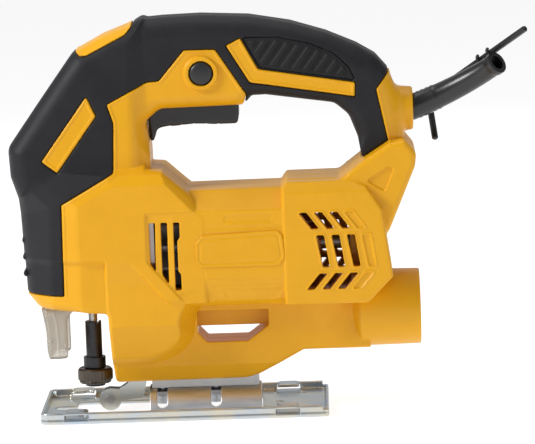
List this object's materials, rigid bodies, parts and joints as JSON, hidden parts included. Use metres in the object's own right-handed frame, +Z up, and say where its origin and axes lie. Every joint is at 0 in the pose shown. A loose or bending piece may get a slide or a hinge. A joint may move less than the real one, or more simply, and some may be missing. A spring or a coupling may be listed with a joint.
{
  "type": "jigsaw",
  "caption": "Corded top-handle jigsaw with a closed grip, paddle trigger, tilting stamped shoe, roller blade support, clear chip guard, quick blade clamp and rear dust port.",
  "frame": {"origin": "on the sole plane of the shoe, directly under the axis of the plunger, on the tool's middle plane", "axes": "+X rearwards along the shoe and the motor axis, so the blade end faces -X; +Z up from the sole; -Y is the tool's left side, the side with the lock button"},
  "size_m": [0.2783, 0.074, 0.2144],
  "materials": {
    "yellow_plastic": "fine satin moulding",
    "black_overmould": "smooth soft-touch",
    "grip_rubber": "ribbed",
    "black_plastic": "satin",
    "boot_rubber": "satin",
    "steel": "ground",
    "zinc_steel": "blue zinc plated",
    "bright_steel": "bright plated",
    "dark_steel": "dark ground steel",
    "black_oxide": "black oxide",
    "lamination": "stacked laminations",
    "aluminium": "die cast",
    "bronze": "sintered bronze",
    "copper": "enamelled copper",
    "carbon": "carbon block",
    "clear_plastic": "clear moulding",
    "grey_plastic": "moulded",
    "film": "dipped film"
  },
  "bodies": {
    "main": {"housing_left": "yellow_plastic", "housing_right": "yellow_plastic", "strut_left": "yellow_plastic", "strut_right": "yellow_plastic", "handle_left": "yellow_plastic", "handle_right": "yellow_plastic", "overmould_left": "black_overmould", "overmould_right": "black_overmould", "grip_pad_left": "grip_rubber", "grip_pad_right": "grip_rubber", "badge_plates": "yellow_plastic", "housing_screws": "steel", "port_block": "yellow_plastic", "gear_frame": "aluminium", "front_bearing": "steel", "rear_bearing": "steel", "gear_axle": "steel", "bush_lower": "bronze", "bush_upper": "bronze", "field_stator": "lamination", "field_coils": "copper", "brush_holders": "bronze", "brushes": "carbon", "brush_springs": "steel", "switch_body": "black_plastic", "capacitor": "film", "cord_clamp": "black_plastic", "clamp_screws": "steel", "cord_boot": "boot_rubber", "saddle_seat": "aluminium", "clamp_plate": "steel", "shoe_bolts": "steel", "rocker_pin": "steel", "trigger_spring": "steel", "lock_spring": "steel"},
    "trigger": {"trigger": "black_plastic"},
    "lock_button": {"lock_button": "black_plastic"},
    "armature": {"armature_shaft": "steel", "armature_stack": "lamination", "armature_windings": "copper", "commutator": "copper", "pinion": "steel", "fan": "grey_plastic"},
    "gear": {"drive_gear": "steel"},
    "plunger": {"plunger_rod": "steel", "yoke": "steel", "chuck_body": "black_oxide", "chuck_tip": "black_oxide", "chuck_spring": "steel"},
    "slider": {"slider_block": "bronze"},
    "chuck_ring": {"chuck_ring": "dark_steel"},
    "rocker": {"roller_bracket": "zinc_steel", "roller_pin": "steel"},
    "roller": {"blade_roller": "steel"},
    "orbit": {"orbit_knob": "black_plastic", "orbit_shaft": "steel"},
    "shoe": {"shoe_plate": "zinc_steel", "shoe_saddle": "bright_steel"},
    "guard": {"chip_guard": "clear_plastic"},
    "key": {"hex_key": "black_oxide"}
  },
  "joints": [
    {"name": "trigger_pull", "type": "slide", "parent": "main", "child": "trigger", "axis": [0, 0, 1], "range_m": [0, 0.005], "stiffness_N_per_m": 800, "springref_m": -0.003, "deforming": ["trigger_spring"]},
    {"name": "lock_press", "type": "slide", "parent": "main", "child": "lock_button", "axis": [0, 1, 0], "range_m": [0, 0.003], "stiffness_N_per_m": 700, "springref_m": -0.002},
    {"name": "armature_spin", "type": "hinge", "parent": "main", "child": "armature", "pos_m": [0.08, 0, 0.089], "axis": [1, 0, 0], "continuous": true},
    {"name": "gear_spin", "type": "hinge", "parent": "main", "child": "gear", "pos_m": [0.022, 0, 0.115], "axis": [1, 0, 0], "continuous": true},
    {"name": "plunger_stroke", "type": "slide", "parent": "main", "child": "plunger", "axis": [0, 0, 1], "range_m": [0, 0.018]},
    {"name": "slider_cross", "type": "slide", "parent": "plunger", "child": "slider", "axis": [0, 1, 0], "range_m": [-0.009, 0.009]},
    {"name": "chuck_twist", "type": "hinge", "parent": "plunger", "child": "chuck_ring", "pos_m": [0, 0, 0.02], "axis": [0, 0, 1], "range_deg": [0, 60], "stiffness_Nm_per_rad": 0.04, "springref_deg": -22.92},
    {"name": "rocker_swing", "type": "hinge", "parent": "main", "child": "rocker", "pos_m": [0.024, 0, 0.027], "axis": [0, 1, 0], "range_deg": [0, 4]},
    {"name": "roller_spin", "type": "hinge", "parent": "rocker", "child": "roller", "pos_m": [0.008, 0, 0.0066], "axis": [0, 1, 0], "continuous": true},
    {"name": "orbit_select", "type": "hinge", "parent": "main", "child": "orbit", "pos_m": [0.028, 0.03, 0.047], "axis": [0, 1, 0], "range_deg": [0, 105]},
    {"name": "shoe_bevel", "type": "hinge", "parent": "main", "child": "shoe", "pos_m": [0.06, 0, -0.006], "axis": [1, 0, 0], "range_deg": [-45, 45]},
    {"name": "guard_pull", "type": "slide", "parent": "main", "child": "guard", "axis": [-1, 0, 0], "range_m": [0, 0.025]},
    {"name": "key_pull", "type": "slide", "parent": "main", "child": "key", "axis": [-0.047, 0.6156, 0.7866], "range_m": [0, 0.04]}
  ],
  "couplings": [
    {"joint": "gear_spin", "follows": "armature_spin", "ratio": -0.18182}
  ]
}
